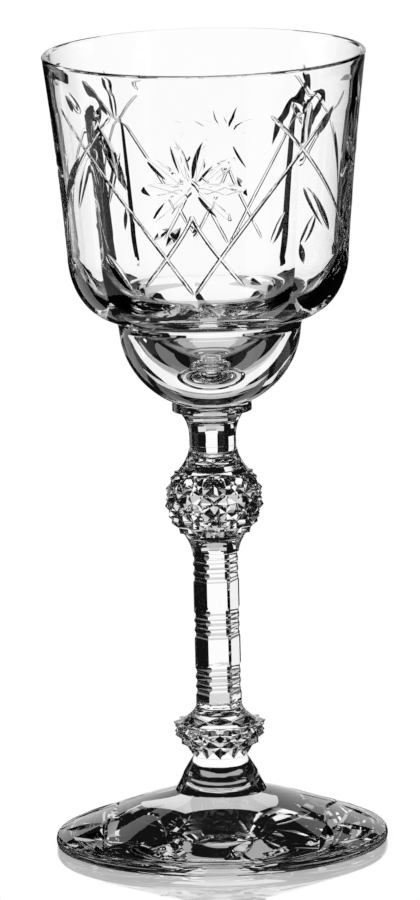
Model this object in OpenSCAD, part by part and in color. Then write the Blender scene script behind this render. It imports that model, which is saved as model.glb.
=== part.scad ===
// Cordial glass in cut crystal: a blown bowl, a pressed and cut stem and a spread foot, fused at two seats.
// The origin is the centre of the foot on the table, +Z runs up to the rim and -Y is the front.

/* [Bowl] */
// Height of the whole glass, from the table to the rim
height = 120; // [105:1:135]
// Radius of the rim, outside
rim_r = 24.2; // [22.5:0.1:26]
// Thickness of the lip at the rim
lip_t = 0.8; // [0.6:0.1:1.2]
// Thickness of the wall where the shoulder starts
wall_t = 1.4; // [1.3:0.1:1.8]
// Height at which the wall turns into the shoulder
shoulder_z = 90; // [88:0.5:93]
// Radius at the top of the shoulder, outside
shoulder_r = 21; // [20:0.1:22.4]
// How far the shoulder drops
shoulder_drop = 9.8; // [9:0.1:10.4]
// How far the shoulder draws in
shoulder_in = 7.2; // [6.6:0.1:7.6]
// Radius of the lower cup, outside
cup_r = 13.6; // [13:0.1:14.2]
// Thickness of the lower cup's wall
cup_t = 3.7; // [3.3:0.1:4.1]
// Thickness of the glass under the lowest point of the hollow
base_t = 4.8; // [4.2:0.1:5.6]
// Depth of the upright optic flutes inside
flute_depth = 0.4; // [0.2:0.05:0.45]
// Number of optic flutes
flute_count = 8; // [6:1:12]

/* [Bowl cutting] */
// Height of the flower's centre
flower_z = 103; // [101:0.5:105]
// Reach of the flower's petals
flower_reach = 8; // [6.5:0.1:8.5]
// Number of petals on a flower
petal_count = 8; // [5:1:9]
// Depth of the petals and leaves
leaf_depth = 0.34; // [0.2:0.02:0.4]
// Depth of the long mitre lines and flower stems
line_depth = 0.22; // [0.12:0.01:0.3]
// Height over which the motif's leaves spread from its centre
motif_h = 10; // [9:0.1:11]

/* [Stem] */
// Height of the bowl's seat on the stem
seat_z = 67.4; // [66:0.1:68.5]
// Radius of the disc under the bowl
capital_r = 5.95; // [5.5:0.05:6.5]
// Height of the disc's plain edge
capital_h = 1.35; // [1:0.05:1.8]
// Radius of the neck above the ball
neck_r = 3.5; // [3.2:0.05:3.9]
// Height of the ball's centre
ball_z = 52.4; // [51.6:0.1:53]
// Radius over the points of the ball's diamonds
ball_r = 7.45; // [6.8:0.05:8]
// Half the height of the ball's curve
ball_rise = 7.1; // [6.8:0.1:7.5]
// Number of diamonds round the ball
ball_count = 16; // [12:1:20]
// Radius of the shaft at its six edges
shaft_r = 3.45; // [3.1:0.05:3.8]
// Distance between groups of notches
notch_pitch = 8.9; // [8:0.1:10]
// Depth of a notch in a shaft edge
notch_depth = 0.5; // [0.3:0.01:0.6]
// Height of the lower knop's widest row
knop_z = 17.9; // [17.5:0.1:18.3]
// Radius over the points of the lower knop's diamonds
knop_r = 7; // [6.6:0.1:7.6]
// Half the height of the lower knop's curve
knop_rise = 4.75; // [4.5:0.05:5]
// Number of diamonds round the lower knop
knop_count = 12; // [10:1:16]
// Radius of the waist between the lower knop and the bell
waist_r = 3.95; // [3.6:0.05:4.3]
// Radius of the bell
bell_r = 5.85; // [5.4:0.05:6.3]
// Radius of the stem's base on the foot
base_r = 6.85; // [6.5:0.05:7.4]
// Depth of the valleys between diamonds
diamond_depth = 0.75; // [0.4:0.05:0.9]

/* [Foot] */
// Radius of the foot
foot_r = 24.9; // [23:0.1:27]
// Height of the foot's top, where the stem stands
foot_h = 8.1; // [7.4:0.1:8.8]
// Thickness of the foot's rounded edge
edge_t = 1.9; // [1.5:0.1:2.3]
// Width of the ring that the foot stands on
ring_w = 2.2; // [1.5:0.1:3]
// Rise of the hollow under the foot
hollow_h = 2.4; // [1.2:0.1:3]
// Depth of the leaves cut into the foot
foot_leaf_depth = 0.5; // [0.2:0.02:0.6]
// Depth of the curved stem lines cut into the foot
foot_line_depth = 0.3; // [0.15:0.01:0.4]

/* [Hidden] */
$fn = 96;

// How far a cutter reaches past the glass that it cuts
overrun = 0.2;
// How far inside the glass two joined forms of one piece overlap
lap = 0.3;
// Half the angle of the mitre wheel that cuts lines, and of the wider one that cuts leaves
line_half_angle = 50;
leaf_half_angle = 64;
// Which way the decoration and the shaft face, from the front
motif_turn = -6;
shaft_turn = 4;
front = -90;
repeats = 4;
quarter = 360 / repeats;

// The bowl's outer line: a wall that flares a little, an elliptical shoulder, a step and the lower cup
flare_share = 0.28;
function wall_share(z) = (z - shoulder_z) / (height - shoulder_z);
function wall_r(z) = shoulder_r + (rim_r - shoulder_r)
    * ((1 - flare_share) * wall_share(z) + flare_share * pow(wall_share(z), 2));
shoulder_c = shoulder_r - shoulder_in;
function shoulder_at(a) = [shoulder_c + shoulder_in * cos(a), shoulder_z - shoulder_drop * sin(a)];
function outer_r(z) = z >= shoulder_z ? wall_r(z)
    : shoulder_c + shoulder_in * sqrt(max(0, 1 - pow((shoulder_z - z) / shoulder_drop, 2)));
shoulder_end = 80;
step_h = 0.6;
step_z = shoulder_z - shoulder_drop - step_h;
cup_z = step_z - step_h;
// The cup's ellipse meets the seat at this angle
seat_angle = acos(capital_r / cup_r);
cup_drop = (cup_z - seat_z) / sin(seat_angle);
lip_round = lip_t / 2;
wall_steps = 3;
shoulder_steps = 7;
cup_steps = 7;

outer_line = concat(
    [[0, seat_z]],
    [for (i = [cup_steps:-1:0]) let (a = 4 + (seat_angle - 4) * i / cup_steps)
        [cup_r * cos(a), cup_z - cup_drop * sin(a)]],
    [[cup_r + step_h, step_z]],
    [for (i = [shoulder_steps:-1:1]) shoulder_at(shoulder_end * i / shoulder_steps)],
    [for (i = [0:wall_steps]) let (z = shoulder_z + (height - lip_round - shoulder_z) * i / wall_steps)
        [wall_r(z), z]]);

// The hollow: an even wall that turns in a little above the outer shoulder, and a small bowl-shaped bottom in
// thick glass
hollow_z = shoulder_z + 2 * step_h;
inner_drop = shoulder_drop - 0.2;
inner_cup_r = cup_r - cup_t;
inner_cup_z = hollow_z - inner_drop;
inner_bottom = seat_z + base_t;
function inner_wall_r(z) = wall_r(z) - wall_t + (wall_t - lip_t) * wall_share(z);
inner_in = inner_wall_r(hollow_z) - inner_cup_r;
function inner_r(z) = z >= hollow_z ? inner_wall_r(z)
    : inner_cup_r + inner_in * sqrt(max(0, 1 - pow((hollow_z - z) / inner_drop, 2)));
inner_shoulder = [for (i = [shoulder_steps:-1:1]) let (a = shoulder_end * i / shoulder_steps)
    [inner_cup_r + inner_in * cos(a), hollow_z - inner_drop * sin(a)]];
inner_cup_start = 17;
inner_line = concat(
    [[0, inner_bottom]],
    [for (i = [cup_steps - 1:-1:0]) let (a = inner_cup_start + (90 - inner_cup_start) * i / cup_steps)
        [inner_cup_r * cos(a), inner_cup_z - (inner_cup_z - inner_bottom) * sin(a)]],
    inner_shoulder,
    [for (i = [0:wall_steps]) let (z = hollow_z + (height + overrun - hollow_z) * i / wall_steps)
        [inner_wall_r(z), z]],
    [[0, height + overrun]]);

// One optic flute is turned about its own upright line, flute_c from the axis, so its bottom follows the shoulder
flute_half = 180 / flute_count;
function flute_centre(r, d) = (2 * r * d + d * d) / (2 * r * (1 - cos(flute_half)) + 2 * d);
flute_c = flute_centre(inner_r(hollow_z), flute_depth);
flute_top = height - motif_h / 4;
flute_bottom = hollow_z - inner_drop * 0.8;
function fade_share(t) = sin(180 * pow(t, 0.75));
flute_steps = 8;
flute_line = [for (i = [0:flute_steps]) let (
    z = flute_bottom + (flute_top - flute_bottom) * i / flute_steps,
    d = (flute_depth + lap) * pow(fade_share(i / flute_steps), 0.5) - lap)
    [inner_r(z) + d - flute_c, z]];

// A mitre cut: a V-section swept through places on a surface, as deep as the wheel was pressed at each.
// The section at a place is its deep edge, then its right and left edges, which stand clear of the glass.
function unit(v) = v / norm(v);
function ahead(p, i) = unit(p[min(i + 1, len(p) - 1)] - p[max(i - 1, 0)]);
function section(p, n, t, d, half_angle) = let (w = (d + overrun) * tan(half_angle), s = unit(cross(t, n)))
    [p - n * d, p + n * overrun + s * w, p + n * overrun - s * w];
module mitre(places, normals, depths, half_angle) {
    last = len(places) - 1;
    points = [for (i = [0:last]) each section(places[i], normals[i], ahead(places, i), depths[i], half_angle)];
    walls = [for (i = [0:last - 1]) let (a = 3 * i, b = a + 3) each [
        [a, a + 1, b + 1], [a, b + 1, b],
        [a, b, b + 2], [a, b + 2, a + 2],
        [a + 2, b + 2, b + 1], [a + 2, b + 1, a + 1]]];
    end = 3 * last;
    polyhedron(points, concat([[0, 2, 1], [end, end + 1, end + 2]], walls), convexity = 4);
}

// How deep a leaf is along its length: nothing at its tips and full at its belly
function leaf_share(t) = sin(180 * t);
leaf_steps = 5;
line_steps = 10;
leaf_lift = overrun / 8;

// A place on the bowl from an angle off the front and a height, and the way the glass faces there
function bowl_place(a, z) = [outer_r(z) * cos(front + a), outer_r(z) * sin(front + a), z];
slope_step = 0.1;
function bowl_normal(a, z) = let (rise = (outer_r(z - slope_step) - outer_r(z + slope_step)) / (2 * slope_step))
    unit([cos(front + a), sin(front + a), rise]);

module bowl_cut(path, depths, half_angle) {
    mitre([for (q = path) bowl_place(q[0], q[1])], [for (q = path) bowl_normal(q[0], q[1])],
        depths, half_angle);
}

module bowl_leaf(from, to, depth, half_angle) {
    path = [for (i = [0:leaf_steps]) from + (to - from) * i / leaf_steps];
    depths = [for (i = [0:leaf_steps]) (depth + leaf_lift) * leaf_share(i / leaf_steps) - leaf_lift];
    bowl_cut(path, depths, half_angle);
}

// Petals fan round the flower's centre and leave a gap below for its two stems
petal_first = -40;
petal_last = 220;
petal_start_share = 0.14;
deg_per_length = 180 / (PI * outer_r(flower_z));
module petals() {
    for (i = [0:petal_count - 1]) {
        a = petal_first + (petal_last - petal_first) * i / (petal_count - 1);
        way = [cos(a) * deg_per_length, sin(a)];
        bowl_leaf([0, flower_z] + way * flower_reach * petal_start_share,
            [0, flower_z] + way * flower_reach, leaf_depth, leaf_half_angle);
    }
}

// Each long line climbs from under the flower, crosses its neighbour's at 45 degrees and ends below the rim.
// Its rise is a share of the motif's height at shares of the way round to the next flower.
cross_angle = quarter / 2;
line_reach_share = 1.33;
line_foot_share = -1.62;
line_climb_share = 2.36;
line_sag_share = 0.26;
function line_rise_share(t) = line_foot_share + line_climb_share * t - line_sag_share * t * t;
function line_place(side, t) = [side * cross_angle * t, flower_z + motif_h * line_rise_share(t)];
// A flower stem bows out and down from the flower
stem_angle = 21;
stem_top_share = -0.42;
stem_fall_share = 1.1;
function flower_stem_place(side, t) =
    [side * stem_angle * pow(t, 1.25), flower_z + motif_h * (stem_top_share - stem_fall_share * t)];

module bowl_lines() {
    for (side = [-1, 1]) {
        line = [for (i = [0:line_steps]) line_place(side, line_reach_share * i / line_steps)];
        bowl_cut(line, [for (i = [0:line_steps]) i == 0 || i == line_steps ? -leaf_lift : line_depth],
            line_half_angle);
        stem = [for (i = [0:leaf_steps]) flower_stem_place(side, i / leaf_steps)];
        bowl_cut(stem, [for (i = [0:leaf_steps]) i == leaf_steps ? -leaf_lift : line_depth], line_half_angle);
    }
}

// Leaves round each crossing: the angle from it and the rise from the flower's centre, as shares of
// cross_angle and motif_h, at both tips, and then the depth as a share of leaf_depth
leaf_shares = [
    [[0, 0.58], [0, 1.28], 1],
    [[0.1, 0.62], [0.27, 1.18], 0.8],
    [[0.14, 0.92], [0.44, -0.04], 1.25],
    [[0.06, 0.36], [0.42, -0.42], 0.9],
    [[0, 0.3], [0, -0.5], 0.9],
    [[0, -0.9], [0, -1.34], 0.8],
    [[0.12, -0.98], [0.38, -1.36], 0.9],
];

module crossing_leaves() {
    for (row = leaf_shares, side = row[0][0] == 0 ? [1] : [-1, 1]) {
        from = [cross_angle * (1 + side * row[0][0]), flower_z + motif_h * row[0][1]];
        to = [cross_angle * (1 + side * row[1][0]), flower_z + motif_h * row[1][1]];
        bowl_leaf(from, to, leaf_depth * row[2], leaf_half_angle);
    }
}

module bowl() {
    color([0.9, 0.93, 0.94, 0.55])
    difference() {
        rotate_extrude() difference() {
            polygon(concat(outer_line, [[wall_r(height) - lip_round, height], [0, height]]));
            polygon(inner_line);
        }
        rotate([0, 0, front + motif_turn]) for (k = [0:flute_count - 1])
            rotate([0, 0, 360 * k / flute_count + flute_half]) translate([flute_c, 0, 0])
                rotate_extrude($fn = 64)
                    polygon(concat([[0, flute_bottom]], flute_line, [[0, flute_top]]));
        for (k = [0:repeats - 1]) rotate([0, 0, motif_turn + quarter * k]) {
            petals();
            bowl_lines();
            crossing_leaves();
        }
    }
}

// A band of diamond points: rings of valleys and points by turns, each ring half a step on from the last.
// A row gives its height, the radius over its points and the depth of its valleys.
module diamond_band(count, rows) {
    around = 2 * count;
    last = len(rows) - 1;
    points = [for (k = [0:last], i = [0:around - 1])
        let (r = rows[k][1] - ((i + k) % 2 == 0 ? rows[k][2] : 0), a = 180 * i / count)
        [r * cos(a), r * sin(a), rows[k][0]]];
    function at(k, i) = k * around + (i + around) % around;
    facets = [for (k = [0:last - 1], i = [0:around - 1]) each (i + k) % 2 == 0
        ? [[at(k, i), at(k + 1, i), at(k + 1, i + 1)], [at(k, i), at(k + 1, i + 1), at(k, i + 1)]]
        : [[at(k, i), at(k + 1, i), at(k, i + 1)], [at(k, i + 1), at(k + 1, i), at(k + 1, i + 1)]]];
    ends = [[for (i = [0:around - 1]) i], [for (i = [around - 1:-1:0]) at(last, i)]];
    polyhedron(points, concat(facets, ends), convexity = 4);
}

// The rows of the ball and of the lower knop follow ellipses. Between them and the plain stem, collars run out
// hollow in outline, each row cut less deep.
function ellipse_rows(centre, r, rise, low, high, count) = [for (k = [0:count - 1])
    let (z = low + (high - low) * k / (count - 1)) [z, r * sqrt(1 - pow((z - centre) / rise, 2)), diamond_depth]];
collar_depths = [0.3, 0.12, 0];
function collar_rows(start, end_z, end_r) = [for (k = [0:len(collar_depths) - 1]) let (t = (k + 1) / len(collar_depths))
    [start[0] + (end_z - start[0]) * t, end_r + (start[1] - end_r) * pow(1 - t, 1.5), collar_depths[k]]];
function turned_over(rows) = [for (k = [len(rows) - 1:-1:0]) rows[k]];

ball_count_z = 9;
ball_span = 0.7 * ball_rise;
ball_low = ball_z - ball_rise * 1.1;
ball_high = ball_z + ball_rise * 1.08;
ball_rows = ellipse_rows(ball_z, ball_r, ball_rise, ball_z - ball_span, ball_z + ball_span, ball_count_z);
knop_count_z = 5;
knop_low = knop_z - knop_rise * 0.95;
knop_high = knop_z + knop_rise * 0.62;
knop_rows = ellipse_rows(knop_z, knop_r, knop_rise, knop_z - knop_rise * 0.74, knop_z + knop_rise * 0.13,
    knop_count_z);

// Turned parts of the stem: the disc and cove under the bowl, and the bell on the foot
cove_steps = 6;
cove_h = 0.7 * (seat_z - capital_h - ball_high);
capital_line = concat(
    [[0, ball_high - lap], [neck_r, ball_high - lap]],
    [for (i = [0:cove_steps]) let (a = 90 * i / cove_steps)
        [capital_r - (capital_r - neck_r) * cos(a), seat_z - capital_h - cove_h + cove_h * sin(a)]],
    [[capital_r, seat_z], [0, seat_z]]);
bell_z = foot_h + (knop_low - foot_h) * 0.3;
flange_h = (bell_z - foot_h) / 2;
bell_steps = 5;
bell_line = concat(
    [[0, foot_h], [base_r, foot_h], [base_r, foot_h + flange_h / 3], [bell_r, foot_h + flange_h]],
    [for (i = [0:bell_steps]) let (t = i / bell_steps)
        [bell_r - (bell_r - waist_r) * (1 - cos(180 * pow(t, 1.2))) / 2, bell_z + (knop_low - bell_z) * t]],
    [[waist_r, knop_low + lap], [0, knop_low + lap]]);

// Six edges of the shaft carry groups of three notches between plain lands
sides = 6;
shaft_low = knop_high - lap;
shaft_high = ball_low + lap;
notch_step_share = 0.235;
notch_group = 3;
edge_shift_share = 0.1;
notch_first = shaft_low + notch_pitch * 0.5;
module notch() {
    s = notch_depth * 4;
    rotate([90, 0, 0]) rotate([0, 0, 45]) translate([0, 0, -shaft_r]) linear_extrude(2 * shaft_r)
        square(s, center = true);
}
module shaft() {
    difference() {
        translate([0, 0, shaft_low]) linear_extrude(shaft_high - shaft_low) circle(shaft_r, $fn = sides);
        for (edge = [0:sides - 1], z = [notch_first:notch_pitch:shaft_high - notch_pitch / 3],
            n = [0:notch_group - 1])
            rotate([0, 0, edge * 360 / sides]) translate([shaft_r - notch_depth + notch_depth * 2 * sqrt(2), 0,
                z + notch_pitch * (n * notch_step_share + (edge % 2) * edge_shift_share)]) notch();
    }
}

module stem() {
    color([0.8, 0.85, 0.88, 0.6])
    union() {
        rotate_extrude() polygon(capital_line);
        rotate([0, 0, front]) diamond_band(ball_count, concat(
            turned_over(collar_rows(ball_rows[0], ball_low, shaft_r + lap / 3)), ball_rows,
            collar_rows(ball_rows[ball_count_z - 1], ball_high, neck_r + lap / 2)));
        rotate([0, 0, front + shaft_turn + 180 / sides]) shaft();
        rotate([0, 0, front]) diamond_band(knop_count, concat(
            [[knop_low, waist_r + lap / 2, 0]], knop_rows,
            collar_rows(knop_rows[knop_count_z - 1], knop_high, shaft_r + lap / 3)));
        rotate_extrude() polygon(bell_line);
    }
}

// The foot's upper line falls from the stem in a shallow curve; shares of its radius and of its height
foot_shares = [[0.342, 0.938], [0.442, 0.846], [0.6, 0.68], [0.744, 0.512], [0.912, 0.328]];
edge_r = foot_r - edge_t * 0.3;
foot_top_line = concat([[base_r, foot_h]], [for (q = foot_shares) [foot_r * q[0], foot_h * q[1]]],
    [[edge_r, edge_t]]);
function foot_z(r) = lookup(r, foot_top_line);
edge_steps = 4;
ring_r = edge_r - ring_w;
foot_line = concat(
    [[0, foot_h]], foot_top_line,
    [for (i = [1:edge_steps]) let (a = 90 - 130 * i / edge_steps)
        [edge_r + (foot_r - edge_r) * cos(a), edge_t / 2 + edge_t / 2 * sin(a)]],
    [[edge_r - edge_t * 0.2, 0], [ring_r, 0]],
    [for (i = [1:edge_steps]) let (a = 90 * i / edge_steps) [ring_r * cos(a), hollow_h * sin(a)]]);

function foot_place(a, r) = [r * cos(front + a), r * sin(front + a), foot_z(r)];
function foot_normal(a, r) = let (rise = (foot_z(r - slope_step * 5) - foot_z(r + slope_step * 5)) / (slope_step * 10))
    unit([rise * cos(front + a), rise * sin(front + a), 1]);
module foot_cut(path, depths, half_angle) {
    mitre([for (q = path) foot_place(q[0], q[1])], [for (q = path) foot_normal(q[0], q[1])],
        depths, half_angle);
}

// Two mirrored sprays in each quarter: stems swing in between their nodes, and two leaves leave each node.
// Radii are shares of the foot's radius and angles shares of a quarter turn.
node_share = 0.25;
node_r_share = 0.71;
inner_swing_share = 0.07;
outer_swing_share = 0.19;
foot_leaf_shares = [[0.26, 0.72, 0.52, 0.945, 1], [0.23, 0.735, 0.075, 0.945, 1.1]];
spine_shares = [0.22, 0.66, 0.19, 0.47];
module foot_cuts() {
    for (side = [-1, 1]) {
        for (q = foot_leaf_shares) {
            from = [side * quarter * q[0], foot_r * q[1]];
            to = [side * quarter * q[2], foot_r * q[3]];
            path = [for (i = [0:leaf_steps]) from + (to - from) * i / leaf_steps];
            foot_cut(path, [for (i = [0:leaf_steps])
                (foot_leaf_depth * q[4] + leaf_lift) * leaf_share(i / leaf_steps) - leaf_lift], leaf_half_angle);
        }
        spine = [for (t = [0, 0.5, 1]) [side * quarter * (spine_shares[0] + (spine_shares[2] - spine_shares[0]) * t),
            foot_r * (spine_shares[1] + (spine_shares[3] - spine_shares[1]) * t)]];
        foot_cut(spine, [foot_line_depth, foot_line_depth, -leaf_lift], line_half_angle);
    }
    for (swing = [[-1, 1, inner_swing_share], [1, 3, outer_swing_share]]) {
        path = [for (i = [0:line_steps]) let (t = i / line_steps)
            [quarter * node_share * (swing[0] + (swing[1] - swing[0]) * t),
            foot_r * (node_r_share - swing[2] * sin(180 * t))]];
        foot_cut(path, [for (i = [0:line_steps]) foot_line_depth], line_half_angle);
    }
}

module foot() {
    color([0.85, 0.89, 0.91, 0.6])
    difference() {
        rotate_extrude() polygon(foot_line);
        for (k = [0:repeats - 1]) rotate([0, 0, motif_turn + quarter * k]) foot_cuts();
    }
}

bowl();
stem();
foot();
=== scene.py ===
"""A cordial glass in cut crystal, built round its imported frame: blown bowl, cut stem and spread foot."""

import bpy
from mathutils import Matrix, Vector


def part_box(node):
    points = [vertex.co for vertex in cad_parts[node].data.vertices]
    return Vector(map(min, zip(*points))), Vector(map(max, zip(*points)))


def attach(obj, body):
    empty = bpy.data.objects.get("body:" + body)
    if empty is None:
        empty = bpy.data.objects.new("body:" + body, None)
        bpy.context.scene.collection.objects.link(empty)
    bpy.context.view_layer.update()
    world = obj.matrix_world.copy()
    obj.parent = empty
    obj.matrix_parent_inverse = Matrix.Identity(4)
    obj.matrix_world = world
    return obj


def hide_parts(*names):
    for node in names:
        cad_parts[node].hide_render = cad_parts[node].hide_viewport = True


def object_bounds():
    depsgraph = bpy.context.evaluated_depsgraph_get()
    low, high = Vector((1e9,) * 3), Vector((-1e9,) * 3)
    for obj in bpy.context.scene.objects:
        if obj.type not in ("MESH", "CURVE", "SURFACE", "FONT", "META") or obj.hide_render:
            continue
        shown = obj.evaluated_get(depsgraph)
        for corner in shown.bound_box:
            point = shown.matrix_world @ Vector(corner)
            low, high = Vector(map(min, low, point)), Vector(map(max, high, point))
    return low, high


bl_info = {
    "name": "Cut crystal cordial glass",
    "version": (1, 0, 0),
    "blender": (4, 5, 0),
    "location": "View3D > Sidebar > Crystal",
    "description": "Builds a wheel-cut cordial glass, its stage and its lights",
    "category": "Object",
}

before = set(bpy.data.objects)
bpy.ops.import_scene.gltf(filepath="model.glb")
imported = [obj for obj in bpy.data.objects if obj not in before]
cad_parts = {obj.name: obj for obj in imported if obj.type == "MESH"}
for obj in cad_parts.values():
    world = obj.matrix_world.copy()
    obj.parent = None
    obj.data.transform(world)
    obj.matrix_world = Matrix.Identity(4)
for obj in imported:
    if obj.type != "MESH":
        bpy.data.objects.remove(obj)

import math

import bpy
import numpy as np
from mathutils import Matrix, Vector

MM = 0.001
BOWL_LOW, BOWL_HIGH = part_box("bowl")
STEM_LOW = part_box("stem")[0]
FOOT_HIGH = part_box("foot")[1]
CAD_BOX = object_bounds()

FRONT = math.radians(-90)
QUARTERS = 4
QUARTER = 2 * math.pi / QUARTERS


def length(name, description, default):
    """A length that a user would change, in metres."""
    return bpy.props.FloatProperty(name=name, description=description, default=default, unit="LENGTH",
                                   precision=5, min=0)


def angle(name, description, degrees):
    """An angle that a user would change, with its default in degrees."""
    return bpy.props.FloatProperty(name=name, description=description, default=math.radians(degrees),
                                   subtype="ANGLE")


class BowlSizes(bpy.types.PropertyGroup):
    height: length("Height", "Height of the rim above the table", BOWL_HIGH.z)
    rim_radius: length("Rim radius", "Outer radius of the rim", BOWL_HIGH.x)
    seat_height: length("Seat height", "Height of the flat seat on the stem", BOWL_LOW.z)
    seat_radius: length("Seat radius", "Radius of the flat seat on the stem", 5.95 * MM)
    lip: length("Lip", "Thickness of the lip", 0.8 * MM)
    wall: length("Wall", "Thickness of the wall at the shoulder", 1.4 * MM)
    shoulder_height: length("Shoulder height", "Height at which the wall turns in", 90 * MM)
    shoulder_radius: length("Shoulder radius", "Outer radius at the top of the shoulder", 21 * MM)
    shoulder_drop: length("Shoulder drop", "How far the shoulder drops", 9.8 * MM)
    shoulder_in: length("Shoulder draw", "How far the shoulder draws in", 7.2 * MM)
    cup_radius: length("Cup radius", "Outer radius of the lower cup", 13.6 * MM)
    step: length("Step", "Height of each half of the step between the shoulder and the cup", 0.6 * MM)
    cup_wall: length("Cup wall", "Thickness of the lower cup's wall", 3.7 * MM)
    base: length("Base", "Glass under the lowest point of the hollow", 4.8 * MM)
    flute: length("Flute depth", "Depth of the upright flutes inside", 0.55 * MM)
    flutes: bpy.props.IntProperty(name="Flutes", description="Number of flutes inside", default=8, min=3)


class CutSizes(bpy.types.PropertyGroup):
    turn: angle("Turn", "Turn of the decoration from the front", -6)
    flower_height: length("Flower height", "Height of each flower's centre", 103 * MM)
    flower_reach: length("Flower reach", "Reach of the petals", 8 * MM)
    petals: bpy.props.IntProperty(name="Petals", description="Petals on a flower", default=8, min=3)
    petal_depth: length("Petal depth", "Depth of the petals", 0.2 * MM)
    leaf_depth: length("Leaf depth", "Depth of the leaves", 0.42 * MM)
    line_depth: length("Line depth", "Depth of the long lines and flower stems", 0.14 * MM)
    motif_height: length("Motif height", "Height that the leaf places are shares of", 10 * MM)
    petal_wheel: length("Petal wheel", "Radius of the round-edged wheel that cuts petals", 2.9 * MM)
    olive_wheel: length("Olive wheel", "Radius of the round-edged wheel that cuts some leaves", 1.5 * MM)
    line_wheel: length("Line wheel", "Radius of the round-edged wheel that cuts lines", 0.42 * MM)
    mitre_wheel: angle("Mitre wheel", "Half the angle of the pointed wheel that cuts the foot's lines", 50)
    leaf_wheel: angle("Leaf wheel", "Half the angle of the pointed wheel that cuts leaves", 64)
    clear: length("Clearance", "How far a cutter stands clear of the glass", 0.2 * MM)
    foot_leaf_depth: length("Foot leaf depth", "Depth of the leaves on the foot", 0.5 * MM)
    foot_line_depth: length("Foot line depth", "Depth of the curved lines on the foot", 0.3 * MM)


class StemSizes(bpy.types.PropertyGroup):
    neck: length("Neck radius", "Radius of the neck above the ball", 3.5 * MM)
    disc_edge: length("Disc edge", "Height of the disc's plain edge", 1.35 * MM)
    ball_height: length("Ball height", "Height of the ball's centre", 52.4 * MM)
    ball_radius: length("Ball radius", "Radius over the points of the ball", 7.45 * MM)
    ball_rise: length("Ball rise", "Half the height of the ball's curve", 7.1 * MM)
    ball_count: bpy.props.IntProperty(name="Ball diamonds", description="Diamonds round the ball", default=12)
    shaft: length("Shaft radius", "Radius of the shaft at its edges", 3.45 * MM)
    pitch: length("Notch pitch", "Distance between groups of notches", 8.6 * MM)
    first_group: length("First group", "From the shaft's lower end to its lowest group's middle", 4.15 * MM)
    notch_gap: length("Notch gap", "Distance between the notches of a group", 1.46 * MM)
    notch: length("Notch depth", "Depth of a notch in an edge of the shaft", 0.24 * MM)
    face_cut: length("Face cut", "Depth of a notch across a face of the shaft", 0.08 * MM)
    notch_wheel: length("Notch wheel", "Radius of the edge of the wheel that cuts notches", 0.85 * MM)
    knop_height: length("Knop height", "Height of the lower knop's widest row", 17.9 * MM)
    knop_radius: length("Knop radius", "Radius over the lower knop's points", 7.0 * MM)
    knop_rise: length("Knop rise", "Half the height of the lower knop's curve", 4.75 * MM)
    knop_count: bpy.props.IntProperty(name="Knop diamonds", description="Diamonds round the knop", default=12)
    waist: length("Waist radius", "Radius between the knop and the bell", 3.95 * MM)
    bell: length("Bell radius", "Radius of the bell", 5.85 * MM)
    base: length("Base radius", "Radius of the stem's base", 6.85 * MM)
    valley: length("Valley depth", "Depth of the valleys between diamonds", 0.75 * MM)
    lap: length("Lap", "How far two forms of the stem overlap", 0.3 * MM)


class FootSizes(bpy.types.PropertyGroup):
    radius: length("Radius", "Radius of the foot", FOOT_HIGH.x)
    height: length("Height", "Height of the foot under the stem", FOOT_HIGH.z)
    edge: length("Edge", "Thickness of the rounded edge", 1.9 * MM)
    ring: length("Ring", "Width of the ring that the foot stands on", 2.2 * MM)
    hollow: length("Hollow", "Rise of the hollow under the foot", 0.9 * MM)


class StudioSettings(bpy.types.PropertyGroup):
    index: bpy.props.FloatProperty(name="Refraction", description="Refractive index of the crystal",
                                   default=1.54, min=1, max=2)
    distance: length("Camera distance", "From the camera to the middle of the glass", 1.6)
    elevation: angle("Elevation", "Camera above the horizon", 10.76)
    roll: angle("Roll", "Turn of the camera about its own line of sight", 1.38)
    floor: bpy.props.FloatVectorProperty(name="Floor", description="Colour of the floor and the tent",
                                         subtype="COLOR", default=(1, 1, 1), min=0, max=1)
    mirror: bpy.props.FloatProperty(name="Mirror", description="Share of the floor that mirrors the glass",
                                    default=0.55, subtype="FACTOR", min=0, max=1)


def add_mesh(name, points, faces):
    """A new object at the origin, from points in metres and faces that number them."""
    mesh = bpy.data.meshes.new(name)
    mesh.from_pydata(np.asarray(points, float).tolist(), [], [list(map(int, f)) for f in faces])
    mesh.validate()
    piece = bpy.data.objects.new(name, mesh)
    bpy.context.scene.collection.objects.link(piece)
    return piece


def join_parts(parts):
    """One set of points and faces from several, each with its own numbering."""
    points, faces, start = [], [], 0
    for p, f in parts:
        points.append(np.asarray(p, float))
        faces += [[start + i for i in face] for face in f]
        start += len(p)
    return np.concatenate(points), faces


def ring_faces(rows, around):
    """Quads of a closed grid whose rows are rings: each faces out if the rows climb anticlockwise rings."""
    row, col = np.meshgrid(np.arange(rows - 1), np.arange(around), indexing="ij")
    nxt = (col + 1) % around
    return np.stack([row * around + col, row * around + nxt,
                     (row + 1) * around + nxt, (row + 1) * around + col], -1).reshape(-1, 4)


def capped_rings(rings):
    """A closed solid from rings of points, rows x around x 3, with a flat face on the first and last ring."""
    rows, around = rings.shape[:2]
    faces = ring_faces(rows, around).tolist()
    faces.append(list(range(around))[::-1])
    faces.append([(rows - 1) * around + i for i in range(around)])
    return rings.reshape(-1, 3), faces


def poled_rings(rings, low, high):
    """A closed solid from rings of points with one point on the axis before the first ring and one after."""
    rows, around = rings.shape[:2]
    points = np.concatenate([rings.reshape(-1, 3), [low], [high]])
    i = np.arange(around)
    j, top = (i + 1) % around, (rows - 1) * around
    pole = np.full(around, rows * around)
    fans = np.stack([np.stack([pole, j, i], -1), np.stack([pole + 1, top + i, top + j], -1)], 1)
    return points, ring_faces(rows, around).tolist() + fans.reshape(-1, 3).tolist()


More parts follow.
